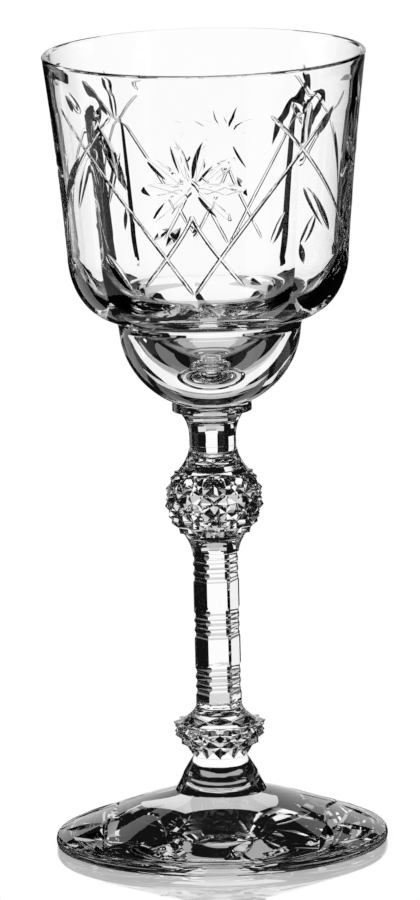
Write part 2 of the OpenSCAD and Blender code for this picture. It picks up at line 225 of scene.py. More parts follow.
def turn_line(line, around, start=0.0):
    """Rings of a line of radius and height turned about the axis: x = r cos, y = r sin."""
    t = start + 2 * np.pi * np.arange(around) / around
    r, z = line[:, :1], line[:, 1:]
    return np.stack([r * np.cos(t), r * np.sin(t), np.broadcast_to(z, (len(line), around))], -1)


def ellipse(cr, cz, a, b, start, end, steps):
    """Radius cr + a cos t and height cz + b sin t, for t from start to end."""
    t = np.radians(np.linspace(start, end, steps + 1))
    return np.stack([cr + a * np.cos(t), cz + b * np.sin(t)], -1)


def bend(p, q, r, steps):
    """A quadratic curve from p to r that leaves and arrives towards q."""
    t = np.linspace(0, 1, steps + 1)[:, None]
    return (1 - t) ** 2 * np.array(p) + 2 * t * (1 - t) * np.array(q) + t ** 2 * np.array(r)


def unit(v):
    """Each vector over its own length."""
    return v / np.linalg.norm(v, axis=-1, keepdims=True)


# The least depth that an arc is worked out for, and how far off the glass a cut ends, as a share of the
# clearance
SHALLOWEST = 0.02 * MM
LIFT_SHARE = 0.125


def pointed(depths, half_angle, clear):
    """The section of a pointed wheel at each depth, as places across and out of the surface: its point lies
    depth below, and its sides stand apart by (depth + clear) tan(half angle) where they clear the glass."""
    wide, none = (depths + clear) * math.tan(half_angle), np.zeros_like(depths)
    return np.stack([np.stack([wide, none + clear], -1), np.stack([none, -depths], -1),
                     np.stack([-wide, none + clear], -1)], 1)


def rounded(depths, radius, clear, count=11):
    """The section of a round-edged wheel at each depth: an arc about a centre radius - depth above the
    surface, with its inner points where it cuts glass and two outer ones where it clears it."""
    inner = np.arccos(1 - np.maximum(depths, SHALLOWEST) / radius)[:, None] * np.linspace(1, -1, count)
    outer = np.arccos((radius - depths - clear) / radius)[:, None]
    t = np.concatenate([outer, inner, -outer], 1)
    return np.stack([radius * np.sin(t), (radius - depths)[:, None] - radius * np.cos(t)], -1)


def sweep(places, normals, sections):
    """A closed cutter whose sections stand across the way through the places: each point is its place, plus
    its distance across times the side direction, plus its distance out times the normal."""
    ahead = np.empty_like(places)
    ahead[1:-1] = places[2:] - places[:-2]
    ahead[0], ahead[-1] = places[1] - places[0], places[-1] - places[-2]
    side = unit(np.cross(unit(ahead), normals))
    across, out = sections[..., :1], sections[..., 1:]
    return capped_rings(places[:, None] + across * side[:, None] + out * normals[:, None])


def combine(piece, other, operation):
    """The piece after an exact boolean with the other, which goes. Cutters cross each other, so a difference
    allows for that."""
    change = piece.modifiers.new("combine", "BOOLEAN")
    change.object, change.operation, change.solver = other, operation, "EXACT"
    change.use_self = operation == "DIFFERENCE"
    graph = bpy.context.evaluated_depsgraph_get()
    made = bpy.data.meshes.new_from_object(piece.evaluated_get(graph))
    piece.modifiers.clear()
    old, piece.data = piece.data, made
    made.name = old.name
    bpy.data.meshes.remove(old)
    spare = other.data
    bpy.data.objects.remove(other)
    bpy.data.meshes.remove(spare)
    return piece


def polish(piece, crease_degrees):
    """Smooth shading with every edge sharper than the crease kept crisp."""
    mesh = piece.data
    mesh.shade_smooth()
    mesh.set_sharp_from_angle(angle=math.radians(crease_degrees))
    mesh.update()
    return piece


CREASE = 9.0
LEAF_STEPS = 10
LINE_STEPS = 36
SLOPE_STEP = 0.1 * MM


class Bowl:
    """The bowl's outline and hollow in real sizes, the same curves as the frame's."""

    FLARE_SHARE = 0.28
    INNER_LESS = 0.2 * MM
    STEP_SHARE = 1.005
    TURN_SHARE = 0.2
    FLUTE_END = 1.2 * MM
    FLUTE_LOW_SHARE = 0.8
    FLUTE_SINK = 0.3 * MM

    def __init__(self, sizes):
        self.sizes = sizes
        self.centre = sizes.shoulder_radius - sizes.shoulder_in
        self.cup_top = sizes.shoulder_height - sizes.shoulder_drop - 2 * sizes.step
        self.hollow_height = sizes.shoulder_height + 2 * sizes.step
        self.inner_drop = sizes.shoulder_drop - self.INNER_LESS
        self.inner_centre = sizes.cup_radius - sizes.cup_wall
        self.inner_in = self.inner_wall(self.hollow_height) - self.inner_centre
        self.inner_bottom = sizes.seat_height + sizes.base

    def share(self, z):
        """How far up the wall a height is, from 0 at the shoulder to 1 at the rim."""
        return (z - self.sizes.shoulder_height) / (self.sizes.height - self.sizes.shoulder_height)

    def wall(self, z):
        """Radius of the wall: from the shoulder's to the rim's by (1 - k) t + k t^2, with k the flare."""
        sizes, t = self.sizes, self.share(z)
        k = self.FLARE_SHARE
        return sizes.shoulder_radius + (sizes.rim_radius - sizes.shoulder_radius) * ((1 - k) * t + k * t * t)

    def inner_wall(self, z):
        """The wall less its thickness, which thins evenly from the shoulder to the lip."""
        return self.wall(z) - self.sizes.wall + (self.sizes.wall - self.sizes.lip) * self.share(z)

    def below(self, z, top, centre, draw, drop):
        """Radius on a quarter ellipse under a height: centre + draw sqrt(1 - (depth / drop)^2)."""
        return centre + draw * np.sqrt(np.clip(1 - ((top - z) / drop) ** 2, 0, 1))

    def outer(self, z):
        """Outer radius at a height: the wall, and the shoulder's ellipse below it."""
        sizes = self.sizes
        return np.where(z >= sizes.shoulder_height, self.wall(z),
                        self.below(z, sizes.shoulder_height, self.centre,
                                   sizes.shoulder_in, sizes.shoulder_drop))

    def inner(self, z):
        """Inner radius at a height: the inner wall, and the hollow's ellipse below it."""
        return np.where(z >= self.hollow_height, self.inner_wall(z),
                        self.below(z, self.hollow_height, self.inner_centre, self.inner_in, self.inner_drop))

    def outer_line(self):
        """From the seat's edge up the cup, round the step and the shoulder, and up the wall to the lip."""
        sizes = self.sizes
        seat = math.degrees(math.acos(sizes.seat_radius / sizes.cup_radius))
        drop = (self.cup_top - sizes.seat_height) / math.sin(math.radians(seat))
        cup = ellipse(0, self.cup_top, sizes.cup_radius, drop, -seat, -4, 22)
        shoulder = ellipse(self.centre, sizes.shoulder_height,
                           sizes.shoulder_in, sizes.shoulder_drop, -79, 0, 26)
        corner = (sizes.cup_radius * self.STEP_SHARE, shoulder[0][1] - self.INNER_LESS)
        step = bend(cup[-1], corner, shoulder[0], 6)[1:-1]
        z = np.linspace(sizes.shoulder_height, sizes.height - sizes.lip / 2, 48)[1:]
        return np.concatenate([cup, step, shoulder, np.stack([self.wall(z), z], -1)])

    def lip_line(self):
        """A half circle over the lip, without its ends."""
        sizes = self.sizes
        r = sizes.rim_radius - sizes.lip / 2
        return ellipse(r, sizes.height - sizes.lip / 2, sizes.lip / 2, sizes.lip / 2, 0, 180, 10)[1:-1]

    def hollow_line(self):
        """From the lip down the wall, round the shoulder and down a straight cone into the lower cup."""
        sizes = self.sizes
        z = np.linspace(sizes.height - sizes.lip / 2, self.hollow_height, 48)
        wall = np.stack([self.inner(z), z], -1)
        shoulder = ellipse(self.inner_centre, self.hollow_height,
                           self.inner_in, self.inner_drop, 0, -80, 30)[1:]
        top = self.hollow_height - self.inner_drop
        cup = ellipse(0, top, self.inner_centre, top - self.inner_bottom, -17, -89, 26)
        upper, lower = shoulder[-1], cup[0]
        turn_in = bend(shoulder[-3], upper, upper + (lower - upper) * self.TURN_SHARE, 6)[1:]
        turn_down = bend(lower + (upper - lower) * self.TURN_SHARE, lower, cup[2], 6)[:-1]
        return np.concatenate([wall, shoulder[:-2], turn_in, turn_down, cup[2:]])

    def flute_reach(self, line, around):
        """How far out the fluted hollow lies at each point: a flute is the hollow's own line turned about an
        upright line beside the axis, and its depth fades out at the lip and in the shoulder. For t from 0 to
        1 up the flute, the fade is 1.6 sqrt(sin(pi t^0.75)), held to 1."""
        sizes = self.sizes
        half = math.pi / sizes.flutes
        r0 = float(self.inner(np.array(self.hollow_height)))
        aside = (2 * r0 * sizes.flute + sizes.flute ** 2) / (2 * r0 * (1 - math.cos(half)) + 2 * sizes.flute)
        top, low = sizes.height - self.FLUTE_END, self.hollow_height - self.inner_drop * self.FLUTE_LOW_SHARE
        t = np.clip((line[:, 1] - low) / (top - low), 0, 1)
        fade = (1.6 * np.sqrt(np.sin(np.pi * t ** 0.75).clip(0))).clip(0, 1)
        depth = (sizes.flute + self.FLUTE_SINK) * fade - self.FLUTE_SINK
        turn = 2 * np.pi * np.arange(around) / around
        off = (turn + half) % (2 * half) - half
        rho = (line[:, 0] + depth - aside)[:, None]
        reach = aside * np.cos(off) + np.sqrt((rho ** 2 - (aside * np.sin(off)) ** 2).clip(0))
        live = (line[:, 1] > low) & (line[:, 1] < top)
        return np.where(live[:, None], np.maximum(reach, line[:, :1]), line[:, :1])


def bowl_place(shape, a, z):
    """A place on the wall from an angle off the front and a height, and the way the wall faces there: out,
    and up by as much as the radius shrinks with height."""
    r = shape.outer(z)
    rise = (shape.outer(z - SLOPE_STEP) - shape.outer(z + SLOPE_STEP)) / (2 * SLOPE_STEP)
    place = np.stack([r * np.cos(FRONT + a), r * np.sin(FRONT + a), z], -1)
    return place, unit(np.stack([np.cos(FRONT + a), np.sin(FRONT + a), rise], -1))


def leaf_depths(depth, clear, steps=LEAF_STEPS):
    """Nothing at the tips and full at the belly, as a round wheel leaves it: depth times the sine of the way
    along."""
    lift = clear * LIFT_SHARE
    return (depth + lift) * np.sin(np.pi * np.linspace(0, 1, steps + 1)) - lift


# Leaves round the crossings, which alternate between two sprays. Each leaf: its ends, in degrees round from
# the crossing and millimetres above the flower's centre, its depth as a share, and True for the pointed wheel
SPRAYS = (
    (((10.8, 12.2), (5, 7.8), 0.9, True),
     ((6.5, 10), (19.5, -1), 1.3, True),
     ((-23, -4.5), (-4, 4), 1, True),
     ((5.5, -10.5), (18, -15.8), 0.9, False)),
    (((2.4, 12), (1, 5.6), 0.8, False),
     ((15.6, 10.7), (6.3, 6.3), 0.9, True),
     ((1, -0.8), (18, -8.4), 1, False),
     ((0.4, -9.2), (3, -12.8), 0.7, True)),
)
# The same for the small leaves on each flower's stems, from the flower
STEM_LEAVES = (((-11, -8.8), (-4.3, -5.7), 0.8, True), ((17, -13.2), (28, -15), 0.7, True))
# The ways of a flower's first and last petal in degrees, and where petals start, as a share of their reach
PETAL_WAYS = (-40, 220)
PETAL_START_SHARE = 0.14
# A long line's height for t from 0 at the flower to 1 at the crossing is a + b t + c t^2 motif heights, and
# it ends past the crossing
LINE_SHARES = (-1.62, 2.36, -0.26)
LINE_END_SHARE = 1.33
# A flower's stems spread by this angle times t^1.25, and run down from and by these shares of the motif
# height
STEM_SPREAD = math.radians(21)
STEM_BEND = 1.25
STEM_SHARES = (-0.42, 1.1)


def bowl_cutters(shape, cuts, spray):
    """Every cut of one quarter: petals, two long lines, two flower stems and their leaves, and the spray of
    leaves round the crossing on the left."""
    made = []
    cross = QUARTER / 2

    def cut(a, z, sections):
        made.append(sweep(*bowl_place(shape, np.asarray(a, float), np.asarray(z, float)), sections))

    def leaf(start, end, sections):
        t = np.linspace(0, 1, LEAF_STEPS + 1)
        cut(start[0] + (end[0] - start[0]) * t, start[1] + (end[1] - start[1]) * t, sections)

    radius = float(shape.outer(np.array(cuts.flower_height)))
    for way in np.radians(np.linspace(*PETAL_WAYS, cuts.petals)):
        step = np.array([math.cos(way) / radius, math.sin(way)]) * cuts.flower_reach
        centre = np.array([0, cuts.flower_height])
        leaf(centre + PETAL_START_SHARE * step, centre + step,
             rounded(leaf_depths(cuts.petal_depth, cuts.clear), cuts.petal_wheel, cuts.clear))

    lift = cuts.clear * LIFT_SHARE
    line_start, line_rise, line_sag = LINE_SHARES
    stem_start, stem_drop = STEM_SHARES
    for side in (-1, 1):
        t = np.linspace(0, LINE_END_SHARE, LINE_STEPS + 1)
        depths = np.full(LINE_STEPS + 1, cuts.line_depth)
        depths[0] = depths[-1] = -lift
        cut(side * cross * t,
            cuts.flower_height + cuts.motif_height * (line_start + line_rise * t + line_sag * t * t),
            rounded(depths, cuts.line_wheel, cuts.clear))
        t = np.linspace(0, 1, LEAF_STEPS + 1)
        depths = np.full(LEAF_STEPS + 1, cuts.line_depth)
        depths[-1] = -lift
        cut(side * STEM_SPREAD * t ** STEM_BEND,
            cuts.flower_height + cuts.motif_height * (stem_start - stem_drop * t),
            rounded(depths, cuts.line_wheel, cuts.clear))

    for middle, leaves in ((-cross, spray), (0, STEM_LEAVES)):
        for start, end, depth, is_pointed in leaves:
            (a0, z0), (a1, z1) = start, end
            section, wheel = (pointed, cuts.leaf_wheel) if is_pointed else (rounded, cuts.olive_wheel)
            leaf((middle + math.radians(a0), cuts.flower_height + z0 * MM),
                 (middle + math.radians(a1), cuts.flower_height + z1 * MM),
                 section(leaf_depths(cuts.leaf_depth * depth, cuts.clear), wheel, cuts.clear))
    return join_parts(made)


def spun(points, faces, a):
    """The same faces on points turned by an angle about the axis."""
    turn = np.array([[math.cos(a), -math.sin(a), 0], [math.sin(a), math.cos(a), 0], [0, 0, 1]])
    return points @ turn.T, faces


BOWL_AROUND = 256


def make_bowl(sizes, cuts):
    """The turned and fluted bowl less its wheel cuts, as one closed solid with a pole at each end."""
    shape = Bowl(sizes)
    start = FRONT + cuts.turn + math.pi / sizes.flutes
    outer = turn_line(np.concatenate([shape.outer_line(), shape.lip_line()]), BOWL_AROUND, start)
    line = shape.hollow_line()
    reach = shape.flute_reach(line, BOWL_AROUND)
    turn = start + 2 * np.pi * np.arange(BOWL_AROUND) / BOWL_AROUND
    inner = np.stack([reach * np.cos(turn), reach * np.sin(turn),
                      np.broadcast_to(line[:, 1:], reach.shape)], -1)
    rings = np.concatenate([outer, inner])
    bowl = add_mesh("blown_bowl", *poled_rings(rings, (0, 0, sizes.seat_height), (0, 0, shape.inner_bottom)))
    cutters = join_parts([spun(*bowl_cutters(shape, cuts, SPRAYS[k % 2]), cuts.turn + QUARTER * k)
                          for k in range(QUARTERS)])
    combine(bowl, add_mesh("bowl_cutters", *cutters), "DIFFERENCE")
    return polish(bowl, CREASE)


def diamond_band(count, rows):
    """Rows of diamond points, each a four-sided pyramid between valleys. A row gives its height, the radius
    over its points and the depth of its valleys, and is turned half a step on from the row below."""
    around = 2 * count
    i = np.arange(around)
    rings = []
    for k, (z, r, depth) in enumerate(rows):
        reach = np.where((i + k) % 2 == 0, r - depth, r)
        rings.append(np.stack([reach * np.cos(np.pi * i / count), reach * np.sin(np.pi * i / count),
                               np.full(around, z)], -1))
    k, i = np.meshgrid(np.arange(len(rings) - 1), np.arange(around), indexing="ij")
    a, b = k * around + i, k * around + (i + 1) % around
    c, d = a + around, b + around
    even = ((i + k) % 2 == 0)[..., None]
    halves = [np.where(even, np.stack([a, b, d], -1), np.stack([a, b, c], -1)),
              np.where(even, np.stack([a, d, c], -1), np.stack([b, d, c], -1))]
    faces = np.stack(halves, 2).reshape(-1, 3).tolist()
    faces.append(list(range(around))[::-1])
    faces.append([(len(rings) - 1) * around + i for i in range(around)])
    return np.concatenate(rings), faces


def diamond_rows(centre, radius, rise, rows, depth):
    """Rows on an ellipse, evenly spaced in height: radius sqrt(1 - (height over the centre / rise)^2)."""
    low, high, count = rows
    z = np.linspace(centre + low * rise, centre + high * rise, count)
    return [(h, r, depth) for h, r in zip(z, radius * np.sqrt(1 - ((z - centre) / rise) ** 2))]


def collar(start, end):
    """A turned collar that runs in from a knop's last row to a neck or shaft, hollow in outline: for t from 0
    to 1, height z0 + (z1 - z0) t and radius r1 + (r0 - r1) (1 - t)^1.6."""
    t = np.linspace(0, 1, 15)
    (z0, r0), (z1, r1) = start, end
    line = np.stack([r1 + (r0 - r1) * (1 - t) ** 1.6, z0 + (z1 - z0) * t], -1)
    line = np.concatenate([[[0, z0]], line, [[0, z1]]])
    return closed_turning(line if z1 > z0 else line[::-1], STEM_AROUND)


def closed_turning(line, around):
    """A solid turned from a line that starts and ends on the axis."""
    rings = turn_line(line[1:-1], around)
    return poled_rings(rings, (0, 0, line[0][1]), (0, 0, line[-1][1]))


STEM_AROUND = 120
SHAFT_SIDES = 6
SHAFT_ROWS = 244
SHAFT_TURN = math.radians(5.5)
ARRIS = 0.03 * MM
# Shares of a knop's rise, from its middle: its first and last row of diamonds with the number of rows, and
# the ends of its collars
BALL_ROWS, BALL_ENDS = (-0.69, 0.62, 8), (-1.1, 1.08)
KNOP_ROWS, KNOP_ENDS = (-0.74, 0.13, 5), (-0.95, 0.62)
COLLAR_SHARE = 0.4
COVE_SHARE = 0.7
# The bell's curve, in shares of its height and, for its last bend, of the way from its side to the waist
BELL_IN = 0.3 * MM
BELL_SIDE_SHARE, BELL_LOW_SHARE, BELL_HIGH_SHARE = 0.52, 0.34, 0.8
BELL_BEND_SHARES = (0.45, 0.55)


def wheel_depth(z, middles, depth, wheel):
    """How deep a wheel with a round edge of radius R cuts at each height: depth - R + sqrt(R^2 - (z - m)^2),
    with m the nearest middle."""
    off = np.abs(z[:, None] - middles).min(1)
    return (depth - wheel + np.sqrt((wheel ** 2 - off ** 2).clip(0))).clip(0)


def notched_shaft(sizes, low, high):
    """The six-sided shaft with cuts in groups of three between plain lands, across its faces and, deeper, its
    edges. At a height whose faces stand p and whose edge cut stands q from the axis, the cut is 2 h wide,
    where q cos 30 + h sin 30 = p; an uncut edge keeps a narrow arris. Edges in turn have their cuts half a
    gap higher."""
    z = np.linspace(low, high, SHAFT_ROWS)
    middles = (np.arange(low + sizes.first_group, high - sizes.pitch / 4, sizes.pitch)[:, None]
               + sizes.notch_gap * np.array([-1, 0, 1])).ravel()
    half_turn = math.pi / SHAFT_SIDES
    face = sizes.shaft * math.cos(half_turn) - wheel_depth(z, middles, sizes.face_cut, sizes.notch_wheel)
    points = []
    for k in range(SHAFT_SIDES):
        middle = middles + sizes.notch_gap / 2 * (k % 2)
        edge = sizes.shaft - wheel_depth(z, middle, sizes.notch, sizes.notch_wheel)
        half = np.maximum((face - edge * math.cos(half_turn)) / math.sin(half_turn), ARRIS)
        out = (face - half * math.sin(half_turn)) / math.cos(half_turn)
        a = 2 * half_turn * k
        for side in (-1, 1):
            points.append(np.stack([out * math.cos(a) - side * half * math.sin(a),
                                    out * math.sin(a) + side * half * math.cos(a), z], -1))
    return capped_rings(np.stack(points, 1))


def from_row(sizes, row, way):
    """Where a collar starts: a lap inside a row of diamonds and in from its points. way is 1 upwards."""
    return row[0] - way * sizes.lap, row[1] - COLLAR_SHARE * sizes.valley


def capital_line(sizes, bowl, low):
    """The neck, a cove that is a quarter ellipse, and the disc under the bowl."""
    top = bowl.seat_height
    cove_h = COVE_SHARE * (top - sizes.disc_edge - low)
    cove_z = top - sizes.disc_edge - cove_h
    cove = ellipse(bowl.seat_radius, cove_z, -(bowl.seat_radius - sizes.neck), cove_h, 0, 90, 16)
    neck = [[0, low - sizes.lap], [sizes.neck, low - sizes.lap]]
    return np.concatenate([neck, cove, [[bowl.seat_radius, top], [0, top]]])


def bell_line(sizes, foot, high):
    """The bell: one bend from the base out to its side and one in from there to the waist."""
    rise = high - foot
    side = (sizes.bell - BELL_IN, foot + BELL_SIDE_SHARE * rise)
    lower = bend((sizes.base, foot + sizes.lap / 3), (sizes.bell, foot + BELL_LOW_SHARE * rise), side, 10)
    near_side, near_waist = BELL_BEND_SHARES
    pull = (near_side * side[0] + near_waist * sizes.waist, foot + BELL_HIGH_SHARE * rise)
    upper = bend(side, pull, (sizes.waist, high), 12)[1:]
    waist = [[sizes.waist, high + sizes.lap], [0, high + sizes.lap]]
    return np.concatenate([[[0, foot], [sizes.base, foot]], lower, upper, waist])


def make_stem(sizes, bowl):
    """Disc and cove, ball, six-sided shaft, lower knop and bell, joined into one solid."""
    ball = diamond_rows(sizes.ball_height, sizes.ball_radius, sizes.ball_rise, BALL_ROWS, sizes.valley)
    ball_low, ball_high = (sizes.ball_height + end * sizes.ball_rise for end in BALL_ENDS)
    knop = diamond_rows(sizes.knop_height, sizes.knop_radius, sizes.knop_rise, KNOP_ROWS, sizes.valley)
    knop_low, knop_high = (sizes.knop_height + end * sizes.knop_rise for end in KNOP_ENDS)
    collars = [collar(from_row(sizes, ball[0], -1), (ball_low, sizes.shaft + sizes.lap / 3)),
               collar(from_row(sizes, ball[-1], 1), (ball_high, sizes.neck + sizes.lap / 2)),
               collar(from_row(sizes, knop[-1], 1), (knop_high, sizes.shaft + sizes.lap / 3))]
    knop = [(knop_low, sizes.waist + sizes.lap / 2, 0)] + knop
    shaft = add_mesh("shaft", *notched_shaft(sizes, knop_high - sizes.lap, ball_low + sizes.lap))
    shaft.data.transform(Matrix.Rotation(FRONT + SHAFT_TURN + math.pi / SHAFT_SIDES, 4, "Z"))
    stem = add_mesh("cut_stem", *closed_turning(capital_line(sizes, bowl, ball_high), STEM_AROUND))
    for part in (spun(*diamond_band(sizes.ball_count, ball), FRONT),
                 spun(*diamond_band(sizes.knop_count, knop), FRONT),
                 *collars,
                 closed_turning(bell_line(sizes, STEM_LOW.z, knop_low), STEM_AROUND)):
        combine(stem, add_mesh("part", *part), "UNION")
    combine(stem, shaft, "UNION")
    return polish(stem, CREASE)


# Places on the foot's upper line, in shares of its radius and its height
FOOT_SHARES = np.array([[0.342, 0.938], [0.442, 0.846], [0.6, 0.68], [0.744, 0.512], [0.912, 0.328]])
FOOT_AROUND = 256
# How far in the edge's upper and lower curves start, in shares of its thickness
EDGE_SHARE = 0.3
RING_SHARE = 0.2
# The leaves of a spray: each one's start and end, in shares of a quarter turn and of the foot's radius, and
# its depth as a share
FOOT_LEAVES = ((0.26, 0.72, 0.52, 0.945, 1), (0.23, 0.735, 0.075, 0.945, 1.1))
# A spray's short stem: its start in the same shares, and how far it runs back and in
FOOT_STEM = (0.22, 0.66, 0.03, 0.19)
# The long curved lines: their ends in eighths of a half turn, how far they swing in, and where they meet
FOOT_LINES = ((-1, 1, 0.07), (1, 3, 0.19))
FOOT_NODE_SHARE = 0.71
FOOT_SLOPE_STEP = 0.5 * MM


def foot_top(sizes, base):
    """The foot's upper line from the stem's base to its edge."""
    edge = sizes.radius - EDGE_SHARE * sizes.edge
    middle = FOOT_SHARES * [sizes.radius, sizes.height]
    return np.concatenate([[[base, sizes.height]], middle, [[edge, sizes.edge]]])


def foot_z(sizes, base, r):
    """Height of the upper line at a radius, straight between its places."""
    line = foot_top(sizes, base)
    return np.interp(r, line[:, 0], line[:, 1])


def foot_cutters(sizes, base, cuts):
    """Every cut of one quarter: two mirrored sprays, whose stems swing in between their nodes."""
    made = []

    def cut(a, r, depths, wheel):
        a, r = np.asarray(a, float), np.asarray(r, float)
        low, high = foot_z(sizes, base, r + FOOT_SLOPE_STEP), foot_z(sizes, base, r - FOOT_SLOPE_STEP)
        rise = (high - low) / (2 * FOOT_SLOPE_STEP)
        place = np.stack([r * np.cos(FRONT + a), r * np.sin(FRONT + a), foot_z(sizes, base, r)], -1)
        normal = unit(np.stack([rise * np.cos(FRONT + a), rise * np.sin(FRONT + a), np.ones_like(r)], -1))
        made.append(sweep(place, normal, pointed(depths, wheel, cuts.clear)))

    t = np.linspace(0, 1, LEAF_STEPS + 1)
    for side in (-1, 1):
        for a0, r0, a1, r1, depth in FOOT_LEAVES:
            cut(side * QUARTER * (a0 + (a1 - a0) * t), sizes.radius * (r0 + (r1 - r0) * t),
                leaf_depths(cuts.foot_leaf_depth * depth, cuts.clear), cuts.leaf_wheel)
        spine = np.linspace(0, 1, 5)
        depths = np.full(5, cuts.foot_line_depth)
        depths[-1] = -cuts.clear * LIFT_SHARE
        a0, r0, back, draw = FOOT_STEM
        cut(side * QUARTER * (a0 - back * spine), sizes.radius * (r0 - draw * spine),
            depths, cuts.mitre_wheel)
    for a0, a1, swing in FOOT_LINES:
        t = np.linspace(0, 1, LINE_STEPS + 1)
        cut(QUARTER / 4 * (a0 + (a1 - a0) * t), sizes.radius * (FOOT_NODE_SHARE - swing * np.sin(np.pi * t)),
            np.full(LINE_STEPS + 1, cuts.foot_line_depth), cuts.mitre_wheel)
    return join_parts(made)


def make_foot(sizes, base, cuts):
    """The spread foot with its rounded edge, standing ring and hollow, less its cuts."""
    edge = sizes.radius - EDGE_SHARE * sizes.edge
    ring = edge - sizes.ring
    top = foot_top(sizes, base)[::-1]
    rim = ellipse(edge, sizes.edge / 2, sizes.radius - edge, sizes.edge / 2, -40, 90, 12)
    hollow = ellipse(0, 0, ring, sizes.hollow, 89, 0, 30)
    line = np.concatenate([hollow, [[edge - RING_SHARE * sizes.edge, 0]], rim, top[1:]])
    rings = turn_line(line, FOOT_AROUND)
    foot = add_mesh("spread_foot", *poled_rings(rings, (0, 0, sizes.hollow), (0, 0, sizes.height)))
    sprays = foot_cutters(sizes, base, cuts)
    cutters = join_parts([spun(*sprays, cuts.turn + QUARTER * k) for k in range(QUARTERS)])
    combine(foot, add_mesh("foot_cutters", *cutters), "DIFFERENCE")
    return polish(foot, CREASE)


class Value:
    """A shader socket whose sums and products add Math nodes."""

    def __init__(self, tree, socket):
        self.tree, self.socket = tree, socket

    def _math(self, operation, *values):
        node = self.tree.nodes.new("ShaderNodeMath")
        node.operation = operation
        for slot, value in zip(node.inputs, values):
            if isinstance(value, Value):
                self.tree.links.new(value.socket, slot)
            else:
                slot.default_value = value
        return Value(self.tree, node.outputs[0])

    def __add__(self, other):
        return self._math("ADD", self, other)

    def __radd__(self, other):
        return self._math("ADD", other, self)

    def __sub__(self, other):
        return self._math("SUBTRACT", self, other)

    def __rsub__(self, other):
        return self._math("SUBTRACT", other, self)

    def __mul__(self, other):
        return self._math("MULTIPLY", self, other)

    def __rmul__(self, other):
        return self._math("MULTIPLY", other, self)

    def most(self, other):
        return self._math("MAXIMUM", self, other)


class Finish:
    """A material or world made of nodes."""

    def __init__(self, owner):
        owner.use_nodes = True
        self.owner, self.tree = owner, owner.node_tree
        self.tree.nodes.clear()

    def node(self, kind, settings=(), sockets=(), output=0):
        made = self.tree.nodes.new(kind)
        for name, value in dict(settings).items():
            setattr(made, name, value)
        for name, value in dict(sockets).items():
            slot = made.inputs[name]
            if isinstance(value, Value):
                self.tree.links.new(value.socket, slot)
            else:
                slot.default_value = value
        return Value(self.tree, made.outputs[output])

    def end(self, kind, surface):
        out = self.tree.nodes.new(kind)
        self.tree.links.new(surface.socket, out.inputs["Surface"])
        return self.owner


# How much of a plain reflection shows, and the colour that light keeps where it passes through as a shadow
REFLECTION = (0.25, 0.25, 0.25, 1)
GLASS_SHADOW = (0.93, 0.94, 0.94, 1)
# A face belongs to a seam where it lies this near the seat's height and is this level
SEAM_GAP = 0.01 * MM
LEVEL = 0.999


def crystal(name, index, wave_scale, wave_height, marks=1.0):
    """Clear polished crystal: refracting glass with a faint waviness, drawn out into tool marks round the
    axis where marks is above 1, whose shadow is light."""
    finish = Finish(bpy.data.materials.new(name))
    place = finish.node("ShaderNodeTexCoord", output="Object")
    drawn = finish.node("ShaderNodeVectorMath", {"operation": "MULTIPLY"}, {0: place, 1: (1, 1, marks)})
    waves = finish.node("ShaderNodeTexNoise", sockets={"Vector": drawn, "Scale": wave_scale, "Detail": 1.5,
                                                  "Roughness": 0.45})
    bump = finish.node("ShaderNodeBump", sockets={"Strength": 1.0, "Distance": wave_height, "Height": waves})
    glass = finish.node("ShaderNodeBsdfPrincipled", sockets={
        "Base Color": (1, 1, 1, 1), "Roughness": 0.0, "IOR": index, "Transmission Weight": 1.0,
        "Specular Tint": REFLECTION, "Normal": bump})
    clear = finish.node("ShaderNodeBsdfTransparent", sockets={"Color": GLASS_SHADOW})
    shadow = finish.node("ShaderNodeLightPath", output="Is Shadow Ray")
    both = finish.node("ShaderNodeMixShader", sockets={0: shadow, 1: glass, 2: clear})
    return finish.end("ShaderNodeOutputMaterial", both)


def seam(name):
    """The fused joint between two pieces of glass, which shows nothing of itself."""
    finish = Finish(bpy.data.materials.new(name))
    clear = finish.node("ShaderNodeBsdfTransparent")
    return finish.end("ShaderNodeOutputMaterial", clear)


def dress(piece, glass, joint, heights):
    """The glass everywhere, and the seam on the flat discs at these heights where two pieces are fused."""
    mesh = piece.data
    mesh.materials.clear()
    mesh.materials.append(glass)
    mesh.materials.append(joint)
    count = len(mesh.polygons)
    centre, normal = np.empty(count * 3), np.empty(count * 3)
    mesh.polygons.foreach_get("center", centre)
    mesh.polygons.foreach_get("normal", normal)
    x, y, z = centre.reshape(-1, 3).T
    level = np.abs(normal.reshape(-1, 3)[:, 2]) > LEVEL
    near = np.zeros(count, bool)
    for h, reach in heights:
        near |= (np.abs(z - h) < SEAM_GAP) & level & (np.hypot(x, y) < reach)
    mesh.polygons.foreach_set("material_index", near.astype(np.int32))
    mesh.update()


class CRYSTAL_OT_bowl(bpy.types.Operator):
    """Blow the bowl and cut its flowers, lines and leaves"""
    bl_idname = "crystal.bowl"
    bl_label = "Blow and cut the bowl"

    def execute(self, context):
        scene = context.scene
        bowl = make_bowl(scene.bowl_sizes, scene.cut_sizes)
        glass = crystal("bowl_crystal", scene.studio.index, wave_scale=120, wave_height=0.012 * MM)
        dress(bowl, glass, seam("bowl_seam"), [(scene.bowl_sizes.seat_height, scene.bowl_sizes.seat_radius)])
        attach(bowl, "root")
        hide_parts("bowl")
        return {"FINISHED"}


